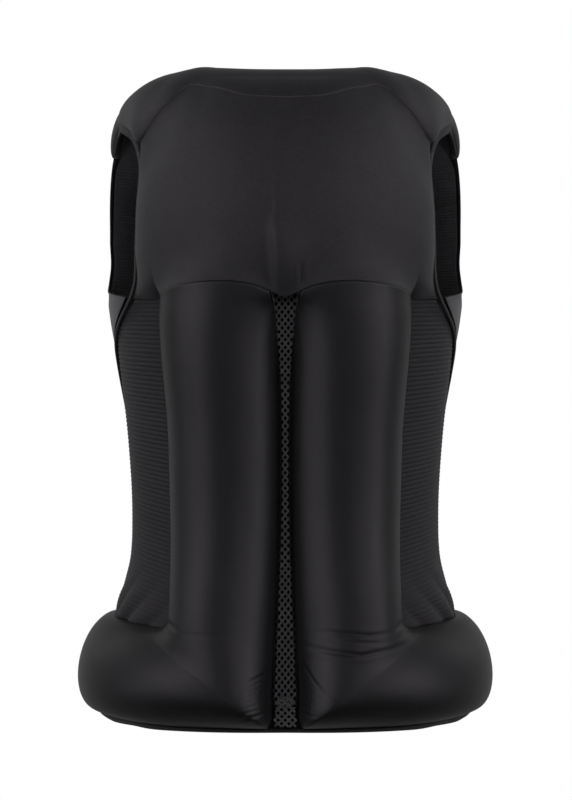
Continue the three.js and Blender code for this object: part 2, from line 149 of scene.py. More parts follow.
BLADDER = Table(
    "step angle_a height_a angle_b height_b edge_a edge_b crown edge_angle scallop skew",
    (0, 7.2, -185, 56, -191, 24, 5, 45, 90, 1, 0.2),
    (1, 4.9, -215, 54.6, -217, 22, 5, 48, 90, 0.35, 0.25),
    (2, 3.4, -300, 54, -300, 21, 4.5, 49, 90, 0, 0.28),
    (3, 3.4, -390, 54, -385, 21, 4.5, 50, 90, 0, 0.28),
    (4, 4.4, -462, 52, -452, 21, 4.5, 51, 90, 0, 0.28),
    (5, 5.4, -520, 49.8, -496, 21, 6, 52, 90, 0, 0.28),
    (6, 6.4, -566, 50.6, -510, 22, 9, 53, 93, 0, 0.05),
    (7, 8.2, HEM_SEAM, 56, -512, 24, 9, 53, 97, 0, -0.2),
    (8, 27, HEM_SEAM, 64, -510, 23, 9, 48, 97, 0, -0.25),
    (9, 53, HEM_SEAM, 74, -507, 24, 8, 36, 97, 0, -0.15),
    (10, 79, HEM_SEAM, 86, -504.5, 21.5, 7, 27.5, 97, 0, 0),
    (11, 97, HEM_SEAM, 98, -503.5, 19.5, 7, 24, 97, 0, 0),
    (12, 109.4, HEM_SEAM, 109.4, -503.5, 17, 8, 16, 95, 0, 0),
)
BINDING_LINE = Table(
    "height angle", (-594, 108), (-500, 108), (-390, 107), (-320, 103), (-276, 97.5), (-243, 89),
    (-222, 80.5), (-204, 72.5), (-184, 66.2), (-140, 63.6), (-95, 62.8), (-47, 62),
)
BINDING_OFFSET = Table(
    "height offset", (-496, 4), (-345, 4), (-243, 5), (-184, 6.4), (-95, 8.5), (-62, 9),
)
GATHER = Table("up share", (0, 1), (0.06, 0.7), (0.12, 0.25), (0.2, 0), (0.3, 0), (1, 0))
ARMHOLE_FRONT = Table(
    "height angle", (ARMHOLE_BOTTOM, 69.5), (-181, 86), (-163, 99.5), (-128, 104.5), (-90, 105.5),
    (-48.8, 105.2),
)
FRONT = Table(
    "step height_a angle_b height_b edge_a edge_b crown lift padding edge_angle",
    (0, HEM_SEAM, ZIP_EDGE, HEM_SEAM, 15, 8, 8, 0, 80, 62),
    (1, -500, ZIP_EDGE, -500, 10, 9, 13, 0, 80, 62),
    (2, -390, ZIP_EDGE, -390, 6, 9, 15, 0, 80, 62), (3, -320, ZIP_EDGE, -325, 6, 9, 15, 0, 80, 62),
    (4, -243, ZIP_EDGE, -260, 5, 9, 15, 0.5, 80, 62), (5, -204, ZIP_EDGE, -225, 5, 9, 15, 2, 80, 62),
    (6, ARMHOLE_BOTTOM, ZIP_EDGE, -205, 5, 9, 15, 3, 80, 62),
    (7, -181, ZIP_EDGE, -182, 5, 9, 15, 3, 80, 62), (8, -163, ZIP_EDGE, -155, 5, 9, 15, 3, 78, 64),
    (9, -128, ZIP_EDGE, -120, 5, 9, 14, 6, 74, 66), (10, -90, 175.8, -90, 6, 9, 13, 7, 66, 70),
    (11, -62, 158, -42, 6, 10, 14, 7, 50, 76),
    (12, -48.8, 122.6, NECK_HEIGHT - 0.2, 8, 14, 16, 5, 40, 78),
)
HEM_OFFSET = Table(
    "angle offset", (0, 31), (30, 34.5), (50, 30), (65, 20), (80, 18), (95, 16), (110, 13), (176, 6),
)


def edge_of(first, last, pair):
    """A curve along an edge of the bladder, between two of its rows."""
    rows = []
    for k in range(EDGE_STEPS + 1):
        found = [float(value) for value in pair(BLADDER(mix(first, last, k / EDGE_STEPS)))]
        if not rows or found[0] > rows[-1][0] + EDGE_RISE:
            rows.append(found)
    return Table("place edge", *rows)


SPINE_EDGE = edge_of(7, 0, lambda row: (max(row.height_a, HEM_SEAM), row.angle_a))
COLUMN_EDGE = edge_of(5.5, 0, lambda row: (row.height_b, row.angle_b))
ROLL_EDGE = edge_of(5.5, 12, lambda row: (row.angle_b, row.height_b))


def body_point(angle, height):
    row = BODY(height)
    turn = np.radians(angle)
    behind = np.cos(turn) > 0
    depth = np.where(behind, row.back, row.front)
    power = np.where(behind, BACK_SQUARENESS, FRONT_SQUARENESS)
    across = np.abs(np.sin(turn) / row.half_width) ** power
    along = np.abs(np.cos(turn) / depth) ** power
    radius = (across + along) ** (-1 / power)
    return np.stack([radius * np.sin(turn), -radius * np.cos(turn), row.z], -1)


def unit(vectors):
    return vectors / np.maximum(np.linalg.norm(vectors, axis=-1, keepdims=True), 1e-12)


def off_body(angle, height, offset):
    angle, height, offset = np.broadcast_arrays(angle, height, offset)
    round_body = body_point(angle + 0.5, height) - body_point(angle - 0.5, height)
    up = body_point(angle, height + 1) - body_point(angle, height - 1)
    return body_point(angle, height) + unit(np.cross(round_body, up)) * offset[..., None]


def grid(across, along):
    return np.meshgrid(np.linspace(0, 1, across + 1), np.linspace(0, 1, along + 1))


def swell(share, edge_angle):
    lean = np.radians(np.asarray(edge_angle) - 90)
    sweep = math.pi + lean - share * (math.pi + 2 * lean)
    place = (1 + np.cos(sweep) / np.cos(lean)) / 2
    rise = (np.sin(sweep) + np.sin(lean)) / (1 + np.sin(lean))
    return place, rise


def smoothstep(x, low, high):
    t = np.clip((x - low) / (high - low), 0, 1)
    return t * t * (3 - 2 * t)


def rolled(distance, depth, width):
    """How far cloth rolls down towards a seam that lies at this distance."""
    return depth * (1 - np.clip(distance / width, 0, 1)) ** 2


# Marks in the cloth are placed as they are seen from behind, in steps of the picture's frame, which
# are millimetres at the wearer's middle.
VIEW_CENTRE = (285.3, 400)
VIEW_HEIGHT = -290
VIEW_DISTANCE = 3000
MARK_ENDS = (0.02, 0.98)  # shares of a mark that hold its faded ends
MARK_FADE = 0.6
SHOULDER_RISE = 0.35  # how high cloth stands beside a groove, as a share of its depth
SHOULDER_PLACE = 2  # how many widths away that is


def seen(points):
    """Where points are seen in the frame."""
    scale = VIEW_DISTANCE / (VIEW_DISTANCE + points[..., 1])
    right = VIEW_CENTRE[0] + points[..., 0] * scale
    down = VIEW_CENTRE[1] - (points[..., 2] - VIEW_HEIGHT) * scale
    return np.stack([right, down], -1)


def relief(points, strokes):
    """The rise of the cloth along each stroke: depth, width, the places that it runs through, and
    how many times wider its right side is."""
    at = seen(points)
    total = np.zeros(points.shape[:-1])
    for depth, width, route, *lean in strokes:
        route = np.array(route, float)
        lengths = np.linalg.norm(np.diff(route, axis=0), axis=1)
        before = np.concatenate([[0], np.cumsum(lengths)])
        best = np.full(total.shape, np.inf)
        along = np.zeros(total.shape)
        wide = np.full(total.shape, float(width))
        for k, length in enumerate(lengths):
            step = (route[k + 1] - route[k]) / length
            t = np.clip((at - route[k]) @ step, 0, length)
            away = at - route[k] - t[..., None] * step
            gap = np.linalg.norm(away, axis=-1)
            nearer = gap < best
            if lean:
                right = step[0] * away[..., 1] < step[1] * away[..., 0]
                wide = np.where(nearer & right, width * lean[0], np.where(nearer, width, wide))
            best = np.where(nearer, gap, best)
            along = np.where(nearer, (before[k] + t) / before[-1], along)
        fade = np.sin(math.pi * np.clip(along, *MARK_ENDS)) ** MARK_FADE
        groove = np.exp(-((best / wide) ** 2))
        shoulders = SHOULDER_RISE * np.exp(-((best / wide - SHOULDER_PLACE) ** 2)) * (depth > 0)
        total += depth * fade * (groove - shoulders)
    return -total


def turn_of(points):
    """The way that each place of a grid of points faces, by the order of the points."""
    return np.cross(np.gradient(points, axis=1), np.gradient(points, axis=0))


def outward(outer, inner):
    """Normals of a grid of points, away from the grid behind it."""
    normal = unit(turn_of(outer))
    sign = np.sign(np.sum(normal * (outer - inner), axis=-1).mean())
    return normal * sign


def quads(ids):
    """The faces of a grid, from the numbers of its points."""
    return np.stack([ids[:-1, :-1], ids[:-1, 1:], ids[1:, 1:], ids[1:, :-1]], -1).reshape(-1, 4)


def run(route):
    """How far along a route each of its points lies."""
    return np.concatenate([[0], np.cumsum(np.linalg.norm(np.diff(route, axis=0), axis=1))])


def followed(values, length, place):
    """What the values along a route are at other places on it."""
    return np.stack([np.interp(place, length, values[:, k]) for k in range(3)], -1)


def lay(points):
    """How far along the cloth each point of a grid lies, across it and along it."""
    across = np.linalg.norm(np.diff(points, axis=1), axis=-1)
    along = np.linalg.norm(np.diff(points, axis=0), axis=-1)
    u = np.concatenate([[0], np.cumsum(across.mean(0))])
    v = np.concatenate([[0], np.cumsum(along.mean(1))])
    return np.stack(np.broadcast_arrays(u[None, :], v[:, None], 0.0), -1)


def piece(name, points, faces, weave, material, slot, trim=None):
    """A new object in metres that rides on the vest. A trim is a second material and the test that
    picks its faces."""
    mesh = bpy.data.meshes.new(name)
    mesh.from_pydata((points * MM).tolist(), [], faces)
    attribute = mesh.attributes.new("weave", "FLOAT_VECTOR", "POINT")
    attribute.data.foreach_set("vector", (weave * MM).astype(np.float32).ravel())
    mesh.polygons.foreach_set("use_smooth", np.ones(len(mesh.polygons), bool))
    mesh.materials.append(material)
    if trim:
        second, picks = trim
        mesh.materials.append(second)
        picked = [int(picks(k, face)) for k, face in enumerate(faces)]
        mesh.polygons.foreach_set("material_index", picked)
    mesh.validate()
    made = bpy.data.objects.new(name, mesh)
    bpy.context.scene.collection.objects.link(made)
    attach(made, "root")
    return made


def shell(outer, inner, stride=BACK_STRIDE):
    """Points, faces and cloth places of a closed solid between two grids. The inner grid is
    coarser by the stride."""
    rows, columns = outer.shape[:2]
    back = inner[::stride, ::stride]
    b_rows, b_columns = back.shape[:2]
    if (rows - 1) % stride or (columns - 1) % stride:
        raise ValueError("the grid's steps are no multiple of the stride")
    front_id = np.arange(rows * columns).reshape(rows, columns)
    back_id = rows * columns + np.arange(b_rows * b_columns).reshape(b_rows, b_columns)

    def rim(ids):
        return np.concatenate([ids[0, :-1], ids[:-1, -1], ids[-1, :0:-1], ids[:0:-1, 0]])

    faces = quads(front_id).tolist() + quads(back_id)[:, ::-1].tolist()
    fine, coarse = rim(front_id), rim(back_id)
    half = (stride + 1) // 2
    for i, a in enumerate(coarse):
        b = coarse[(i + 1) % len(coarse)]
        edge = [fine[(i * stride + j) % len(fine)] for j in range(stride + 1)]
        faces.extend([edge[j + 1], edge[j], a] for j in range(half))
        faces.append([edge[half], a, b])
        faces.extend([edge[j + 1], edge[j], b] for j in range(half, stride))
    points = np.concatenate([outer.reshape(-1, 3), back.reshape(-1, 3)])
    laid = lay(outer)
    weave = np.concatenate([laid.reshape(-1, 3), laid[::stride, ::stride].reshape(-1, 3)])
    a, b, c = (points[[face[k] for face in faces]] for k in range(3))
    if np.sum(a * np.cross(b, c)) < 0:
        faces = [face[::-1] for face in faces]
    return points, faces, weave


def mirrored(points, faces, weave):
    return points * (-1, 1, 1), [face[::-1] for face in faces], weave


def tube(route, radii, sides, normal=None):
    """A closed round or flat tube along a route. The radii are across the normal and along it."""
    route = np.asarray(route, float)
    forward = unit(np.gradient(route, axis=0))
    if normal is None:
        normal = np.broadcast_to((0.0, -1.0, 0.0), route.shape)
    side = unit(np.cross(forward, normal))
    out = unit(np.cross(side, forward))
    radii = np.broadcast_to(np.asarray(radii, float), (len(route), 2))
    turn = 2 * math.pi * np.arange(sides) / sides
    ring = (
        side[:, None] * (np.cos(turn)[None, :, None] * radii[:, None, :1])
        + out[:, None] * (np.sin(turn)[None, :, None] * radii[:, None, 1:])
    )
    points = (route[:, None] + ring).reshape(-1, 3)
    faces = []
    for k in range(len(route) - 1):
        for s in range(sides):
            a, b = k * sides + s, k * sides + (s + 1) % sides
            faces.append([a, b, b + sides, a + sides])
    faces.append(list(range(sides))[::-1])
    last = (len(route) - 1) * sides
    faces.append([last + s for s in range(sides)])
    weave = np.zeros((len(route), sides, 3))
    weave[..., 0] = 2 * math.pi * radii[:, :1] * np.arange(sides) / sides
    weave[..., 1] = run(route)[:, None]
    return points, faces, weave.reshape(-1, 3)


def joined(parts):
    """Several meshes as one."""
    points, faces, weave, start = [], [], [], 0
    for p, f, w in parts:
        points.append(p)
        weave.append(w)
        faces.extend([[i + start for i in face] for face in f])
        start += len(p)
    return np.concatenate(points), faces, np.concatenate(weave)


# Materials

FIBRE = (900, 3, 0.5)  # scale, detail and roughness of a noise
CLOUD = (45, 5, 0.8)
GRAIN = (380, 2, 0.5)
WAVE = {"Distortion": 1.2, "Detail": 1, "Detail Scale": 2}
FIBRE_RISE = 0.5  # height of the fibres against that of the knit
WEAVE_DEPTH = 0.0004  # in metres
KNIT_TONE = 0.3  # how much the knit shows in the colour
TONE_RANGE = (0.4, 0.75)
ROUGHNESS_SPAN = 0.06
SPECULAR_TINT = (0.98, 0.92, 1, 1)
SHEEN_ROUGHNESS = 0.45
SHEEN_TINT = (0.9, 0.9, 0.95, 1)


def node(tree, kind, **values):
    made = tree.nodes.new(kind)
    for key, value in values.items():
        setattr(made, key, value)
    return made


def set_inputs(made, values):
    for key, value in values.items():
        made.inputs[key].default_value = value


def combined(tree, operation, *values):
    """The result of a sum in a node tree, from numbers and other results."""
    made = node(tree, "ShaderNodeMath", operation=operation)
    for socket, value in zip(made.inputs, values):
        if isinstance(value, float):
            socket.default_value = value
        else:
            tree.links.new(value, socket)
    return made.outputs["Value"]


def cloth(name, color, roughness, sheen, course, wale, bump, mottle, specular):
    """A knitted or woven cloth: courses and wales of a given pitch, faint mottling and soft sheen."""
    material = bpy.data.materials.new(name)
    material.use_nodes = True
    tree = material.node_tree
    link = tree.links.new
    shader = tree.nodes["Principled BSDF"]
    place = node(tree, "ShaderNodeAttribute", attribute_name="weave", attribute_type="GEOMETRY")
    where = node(tree, "ShaderNodeTexCoord")

    def noise(scale, detail, coarseness):
        made = node(tree, "ShaderNodeTexNoise")
        set_inputs(made, {"Scale": scale, "Detail": detail, "Roughness": coarseness})
        link(where.outputs["Object"], made.inputs["Vector"])
        return made.outputs["Fac"]

    waves = []
    for direction, pitch in (("X", wale), ("Y", course)):
        wave = node(tree, "ShaderNodeTexWave", wave_type="BANDS", bands_direction=direction)
        set_inputs(wave, {"Scale": math.pi / 10 / (pitch * MM), **WAVE})
        link(place.outputs["Vector"], wave.inputs["Vector"])
        waves.append(wave.outputs["Fac"])
    knit = combined(tree, "MULTIPLY", *waves)
    fibre = noise(*FIBRE)
    raised = node(tree, "ShaderNodeBump")
    set_inputs(raised, {"Strength": bump, "Distance": WEAVE_DEPTH})
    link(combined(tree, "MULTIPLY_ADD", fibre, FIBRE_RISE, knit), raised.inputs["Height"])
    link(raised.outputs["Normal"], shader.inputs["Normal"])
    mottling = combined(tree, "MULTIPLY", combined(tree, "ADD", noise(*CLOUD), noise(*GRAIN)), 0.5)
    ramp = node(tree, "ShaderNodeValToRGB")
    for element, position, tone in zip(ramp.color_ramp.elements, TONE_RANGE, (1 - mottle, 1 + mottle)):
        element.position = position
        element.color = (*[c * tone for c in color], 1)
    link(combined(tree, "MULTIPLY_ADD", knit, KNIT_TONE, mottling), ramp.inputs["Fac"])
    link(ramp.outputs["Color"], shader.inputs["Base Color"])
    rough = node(tree, "ShaderNodeMapRange")
    set_inputs(rough, {"To Min": roughness - ROUGHNESS_SPAN, "To Max": roughness + ROUGHNESS_SPAN})
    link(fibre, rough.inputs["Value"])
    link(rough.outputs["Result"], shader.inputs["Roughness"])
    set_inputs(shader, {
        "Specular IOR Level": specular, "Specular Tint": SPECULAR_TINT,
        "Sheen Weight": sheen, "Sheen Roughness": SHEEN_ROUGHNESS, "Sheen Tint": SHEEN_TINT,
    })
    return material


COVER = cloth("satin_stretch_cloth", (0.0075, 0.0068, 0.0078), 0.42, 0.03, 0.7, 0.9, 0.3, 0.35, 0.42)
PAD_COVER = cloth("matt_stretch_cloth", (0.0195, 0.0178, 0.0203), 0.58, 0.16, 0.7, 0.9, 0.3, 0.35, 0.45)
# The front covers' cloth has a real sheen. Its base colour is lighter than the back's, which is painted
# light from the side on the wing.
WING_COVER = cloth("sheen_cloth_with_painted_light", (0.056, 0.052, 0.058), 0.5, 0.4, 0.7, 0.9, 0.3, 0.35, 0.5)
RIB_KNIT = cloth("ribbed_stretch_knit", (0.021, 0.0193, 0.0219), 0.62, 0.1, 0.8, 1.0, 0.5, 0.2, 0.4)
NET = cloth("net_strand", (0.33, 0.32, 0.34), 0.6, 0.2, 0.5, 0.6, 0.5, 0.25, 0.45)
INSIDE = cloth("fine_mesh_lining", (0.14, 0.132, 0.146), 0.7, 0.1, 1.1, 1.1, 0.8, 0.3, 0.35)
# The backing's own cloth, also used as painted shade on the net's edges and on the inside of the
# shoulder yoke.
BACKING_AND_SHADE = cloth("backing_and_painted_shade_cloth", (0.042, 0.04, 0.043), 0.8, 0.1, 0.6, 0.6, 0.4, 0.2, 0.3)
# Near-black cloth that is painted shade: it goes on the insides of the front covers and on the rims of
# the linings.
SHADE = cloth("painted_shade_cloth", (0.006, 0.0055, 0.0062), 0.8, 0, 0.6, 0.6, 0.4, 0.2, 0.15)
EDGING = cloth("binding_tape", (0.03, 0.03, 0.031), 0.55, 0.12, 0.6, 0.6, 0.5, 0.15, 0.45)
THREAD = cloth("stitching_thread", (0.1, 0.096, 0.102), 0.5, 0.1, 0.4, 0.4, 0.4, 0.2, 0.45)
HEM_TAPE = cloth("hem_tape", (0.028, 0.026, 0.029), 0.65, 0.05, 0.6, 0.6, 0.5, 0.15, 0.35)
CLOSURE = cloth("closure_tape", (0.012, 0.012, 0.0125), 0.5, 0.05, 0.5, 1.2, 0.6, 0.15, 0.45)


# Pieces

def fuller(row, place):
    """How much fuller a column is toward one side."""
    return 1 + row.skew * (2 * place - 1)


def column_top(angle):
    """The offset of the columns' top, which the pad's bottom follows over the valley too."""
    top = BLADDER(0)
    place = (np.hypot(angle, SPINE_DIP) - top.angle_a) / (top.angle_b - top.angle_a)
    inside = np.clip(place, 0, 1)
    rise = np.sqrt(1 - (2 * inside - 1) ** 2)
    return mix(top.edge_a, top.edge_b, inside) + top.crown * rise * fuller(top, inside)


PAD_ROLL = (0.6, 2)  # depth and width of the roll of a cover into its seam
YOKE_ROLL = (0.22, 1.8)
FLUSH = 1.6  # row down to which a column follows the bottom of the pad
SEAM_LAP = 0.6  # how far the pad slips under the shoulder beside the armhole
VALLEY_DEPTH = 8
VALLEY_WIDTH = 34
VALLEY_SLOPE = 0.67  # how much nearer the slanting seam is than straight up or down
VALLEY_START = (38, 56)  # angles between which the valley begins
VALLEY_END = (61, 74)
ROLL_END = (34, 44)  # angles between which the roll into the seam ends


def filled(angle, distance):
    """How far cloth bridges the valley at the shoulder seam, and rolls into the seam elsewhere."""
    angle = np.abs(angle)
    bridge = rolled(VALLEY_SLOPE * distance, 1, VALLEY_WIDTH) * VALLEY_DEPTH
    bridge = bridge * smoothstep(angle, *VALLEY_START) * (1 - smoothstep(angle, *VALLEY_END))
    return bridge - rolled(distance, *YOKE_ROLL) * (1 - smoothstep(angle, *ROLL_END))


PAD_SIDE = 60  # angle at which the heights of the pad's rows are taken along the armhole
LAP_START = (40, 46)  # angles between which the pad begins to slip under the shoulder
SIDE_SHARPNESS = 3  # how much sooner the columns' form fades out beside the armhole
SIDE_SPAN = (25, 60)
SPINE_SPAN = (6, 20)
PAD_LEAST = 4
PAD_MARKS = (
    (-6.5, 6.5, [(275, 217), (278, 248), (281, 300)], 3.8),
    (1.6, 2.2, [(301, 262), (301, 287)]),
)


def pad_face(share, step):
    up = (1 - np.cos(math.pi * step)) / 2
    row = PAD(up)
    level = mix(PAD_BOTTOM(PAD_SIDE).height, YOKE_EDGE(PAD_SIDE).height, up)
    half = np.where(step == 1, PAD_CORNER, BINDING_LINE(level).angle - BINDING_CLEARANCE)
    place, rise = swell(share, PAD_EDGE_ANGLE)
    angle = half * (2 * place - 1)
    aside = np.abs(angle)
    bottom = PAD_BOTTOM(aside).height + SEAM / 2
    top = YOKE_EDGE(aside).height + mix(-SEAM / 2, SEAM_LAP, smoothstep(aside, *LAP_START))
    height = mix(bottom, top, up)
    broad = row.edge + row.crown * rise
    sharp = SIDE_SHARPNESS * smoothstep(aside, *SIDE_SPAN) + 1 - smoothstep(aside, *SPINE_SPAN)
    hollow = np.clip(row.columns, 0, 1) ** (1 + sharp)
    offset = np.maximum(mix(broad, column_top(angle), hollow), PAD_LEAST)
    offset = offset - rolled(height - bottom, *PAD_ROLL) + filled(angle, top - height)
    return off_body(angle, height, offset), off_body(angle, height, 0)


def yoke_face(share, step):
    station = mix(-YOKE.last, YOKE.last, step)
    row = YOKE(np.abs(station))
    place, rise = swell(share, row.edge_angle)
    low = YOKE_EDGE(np.abs(station)).height + SEAM / 2
    angle = np.sign(station) * mix(np.abs(station), row.angle_b, place)
    height = mix(low, NECK_HEIGHT, place)
    offset = mix(row.edge_a, row.edge_b, place) + row.crown * rise
    offset = offset + filled(station, height - low)
    return off_body(angle, height, offset), off_body(angle, height, row.lift * (1 - place) ** LIFT_FADE)


WRINKLE = 1.7  # width of the fine wrinkles beside the net
BLADDER_MARKS_RIGHT = (
    (0.9, 2.2, [(318, 632), (345, 634), (372, 636), (392, 633)]),
    (1.0, 2.4, [(300, 645), (330, 652), (362, 656), (390, 650), (410, 643)]),
    (0.5, 1.8, [(345, 642), (382, 643)]),
    *[
        (0.7, WRINKLE, [(297, 655 + 8 * k), (314 - k, 682 + 5.5 * k), (332 - 2 * k, 703 + 2.4 * k)])
        for k in range(7)
    ],
    (1.0, 2.4, [(405, 620), (395, 631)]),
)
BLADDER_MARKS_LEFT = (
    (0.2, 2.2, [(178, 633), (204, 636), (232, 635)]),
    *[
        (0.8, WRINKLE, [(247 - k, 684 + 5.2 * k), (262 - 0.4 * k, 676 + 5.6 * k), (275, 662 + 6.2 * k)])
        for k in range(8)
    ],
    (1.0, 2.4, [(165.6, 620), (175.6, 631)]),
)


HANG_SPAN = (40, 90)  # angles between which the seam under the hip roll rises
DROP_ROWS = (6, 7)  # rows between which the bladder drops to that seam
ROLL_SHARE = 0.2  # share of a column, from its top, that may roll into the pad's seam


def hem_line(angle):
    """The height of the seam under the hip roll, which hangs lower behind than at the sides."""
    return mix(ROLL_BOTTOM, HEM_SEAM, smoothstep(np.abs(angle), *HANG_SPAN))


def bladder_face(share, step):
    number = step * BLADDER.last
    row = BLADDER(number)
    top = BLADDER(0)
    drop = (hem_line(row.angle_a) - HEM_SEAM) * smoothstep(number, *DROP_ROWS)
    low = np.maximum(row.height_a, HEM_SEAM) + drop

    def spot(place):
        angle = mix(row.angle_a, row.angle_b, place)
        chord = mix(top.height_a, top.height_b, np.clip(place, 0, 1))
        bow = row.scallop * (PAD_BOTTOM(angle).height - chord)
        return angle, mix(low, row.height_b, place) + bow - SEAM / 2

    place, rise = swell(share, row.edge_angle)
    angle, height = spot(place)
    offset = mix(row.edge_a, row.edge_b, place) + row.crown * rise * fuller(row, place)
    offset = mix(offset, column_top(angle), 1 - smoothstep(number, 0, FLUSH))
    below = PAD_BOTTOM(angle).height - height
    offset = offset - np.where(step < ROLL_SHARE, rolled(below, *PAD_ROLL), 0)
    return off_body(angle, height, offset), off_body(*spot(share), 0)


PANEL_SIDES = (52, 106)  # angles at which the side panel meets the column and the edging
PANEL_GAP = 0.02  # between the panel and the column
UNDER_TAPE = 3.3  # how far the panel runs on under the edging
UNDER_END = (ARMHOLE_BOTTOM - 30, ARMHOLE_BOTTOM - 8)  # heights between which that ends
GATHER_ROUND = 0.8
RIB_PITCH = 4
RIB_DEPTH = 1.4
RIB_HEM = 0.006  # share of the panel's height at each end that has no rib
RIB_SIDE = 0.05  # share of its width beside the column over which the ribs rise
RIB_LOW = 0.3  # share of the ribs' depth that is left among the gathers
RIB_RISE = 0.14
RIB_TILT = Table(
    "height slope", (-600, 0.24), (-450, 0.2), (-350, 0.13), (-250, 0.06), (-190, 0.02),
)


def side_panel():
    across, up = grid(45, 600)
    top = PAD_BOTTOM(PAD_SIDE).height - SEAM

    def level(angle):
        return mix(ROLL_EDGE(angle).edge + SEAM, top, up)

    near, far = map(level, PANEL_SIDES)
    start = COLUMN_EDGE(near).edge + PANEL_GAP
    under = UNDER_TAPE * (1 - smoothstep(far, *UNDER_END))
    angle = mix(start, BINDING_LINE(far).angle - BINDING_CLEARANCE + under, across)
    height = level(angle)
    lean = GATHER_SLANT * (height - ROLL_EDGE(angle).edge)
    wave = np.abs(np.sin(math.pi * GATHERS * (across - lean))) ** GATHER_ROUND
    offset = GATHER_DEPTH * GATHER(up).share * wave * np.sin(math.pi * across)
    inner = off_body(angle, height, offset)
    width = np.linalg.norm(np.diff(inner, axis=1), axis=-1).sum(1)[:, None]
    phase = (height + RIB_TILT(height).slope * width * (1 - across)) / RIB_PITCH
    rib = np.sqrt(np.maximum(1 - (2 * (phase % 1) - 1) ** 2, 0))
    hemmed = np.minimum(smoothstep(up, 0, RIB_HEM), smoothstep(1 - up, 0, RIB_HEM))
    edges = smoothstep(across, 0, RIB_SIDE)
    fade = mix(RIB_LOW, 1, smoothstep(up, 0, RIB_RISE))
    outer = off_body(
        angle, height, offset + STRETCH_CLOTH - RIB_DEPTH + RIB_DEPTH * rib * hemmed * edges * fade
    )
    return shell(outer, inner)


def front_spot(row, place):
    """The angle, height and lift of a place between the side seam or armhole and the closure."""
    below = row.height_a < ARMHOLE_BOTTOM
    seam = BINDING_LINE(row.height_a).angle + WING_CLEARANCE
    start = np.where(below, seam, ARMHOLE_FRONT(row.height_a).angle)
    angle = mix(start, np.minimum(row.angle_b, ZIP_EDGE), place)
    height = mix(np.maximum(row.height_a, HEM_SEAM), row.height_b, place)
    return angle, height, row.lift * (1 - place) ** LIFT_FADE


def front_face(share, step):
    row = FRONT(step * FRONT.last)
    angle, height, lift = front_spot(row, share)
    crown = row.crown * smoothstep(angle, row.padding, row.padding + PADDING_SPAN)
    _, rise = swell(share, row.edge_angle)
    offset = mix(row.edge_a, row.edge_b, share) + crown * rise + lift
    return off_body(angle, height, offset), off_body(angle, height, LINING + SEAM_GAP + lift)


LINING_RIB = 3
LINING_DEPTH = 1.1
LINING_START = (5.9, 6.2)  # rows of the front between which the lining's ribs rise
LINING_END = (11.2, 11.6)
LINING_LAST = (11.75, 11.9, 12)
LINING_SEAM = 0.02  # share of the lining's width at each side where they fade


def front_lining():
    across = np.linspace(0, 1, 61)
    hidden = np.linspace(0, LINING_START[0], 61)
    ribbed = np.linspace(LINING_START[0], LINING_END[1], 361)[1:]
    steps = np.concatenate([hidden, ribbed, LINING_LAST])
    share, step = np.meshgrid(across, steps)
    row = FRONT(step)
    angle, height, lift = front_spot(row, share)
    z = off_body(angle, height, 0)[..., 2]
    rib = np.abs(np.sin(math.pi * z / LINING_RIB))
    strength = smoothstep(step, *LINING_START) * (1 - smoothstep(step, *LINING_END))
    strength = strength * np.minimum(
        smoothstep(share, 0, LINING_SEAM), 1 - smoothstep(share, 1 - LINING_SEAM, 1)
    )
    inner = off_body(angle, height, LINING + lift)
    outer = off_body(angle, height, lift + LINING_DEPTH * (1 - rib * strength))
    return shell(outer, inner)


NET_PITCH = (5.8, 7.6)
STRAND = 0.9
STRAND_SIDES = 6
STRAND_SWING = 0.3  # how far a strand swings over and under the others
STRAND_LEAST = 4  # fewest points of a strand
NET_REACH = 40  # half of the width in which strands are laid out, before they are cut
NET_POINTS = 161
NET_OVERLAP = 0.6  # how far the strands run on past the edges of the columns
NET_RISE = 6  # how far the net comes out to the columns at its top
NET_TOP = (-280, -186)
NET_TOP_ANGLE = 5
NET_LOW = ROLL_BOTTOM + 1
NET_MARGIN = 3  # width of the net's dark edges, which stand for the shade of the columns
FOLD = 25  # length of the net's lower end, which folds out over the hem
FOLD_PITCH = (6.6, 6.4)
FOLD_STRAND = 1.15
FOLD_HALF = 11.5
FOLD_NARROWS = 4
FOLD_LAP = 8
FOLD_WAVE = (3, 1.2)  # height and pace of the wave in the fold's upper edge
FOLD_OUT = (3, 9, 0.7)  # how far out the fold starts, how much further it ends, and how it curves
FOLD_BOW = (0.02, 3)  # how it bows across, and how far to the right
BACKING_LOW = ROLL_BOTTOM - 1.5
BACKING_GAP = 0.02


def net_strands(low, high, half, out, pitch, radius):
    """Two crossing sets of strands between two edges, each over and under the other."""
    parts = []
    slope = pitch[1] / pitch[0]
    rise = high(NET_TOP_ANGLE)
    reach = slope * 2 * half(np.linspace(low, rise, 60)).max()
    for direction in (-1, 1):
        for k in range(int((rise - low + 2 * reach) / pitch[1]) + 1):
            base = low - reach + k * pitch[1]
            x = np.linspace(-NET_REACH, NET_REACH, NET_POINTS)
            height = base + direction * slope * x
            degree = math.radians(1) * BODY(height).back
            keep = (height > low) & (height < high(np.abs(x / degree)))
            keep &= np.abs(x) < half(height)
            if keep.sum() < STRAND_LEAST:
                continue
            x, height = x[keep], height[keep]
            weave = direction * STRAND_SWING * np.cos(2 * math.pi * x / pitch[0])
            route = off_body(x / degree[keep], height, out(x, height) + weave)
            parts.append(tube(route, radius, STRAND_SIDES))
    return parts


def net_half(height):
    return SPINE_EDGE(height).edge * math.radians(1) * BODY(height).back + NET_OVERLAP


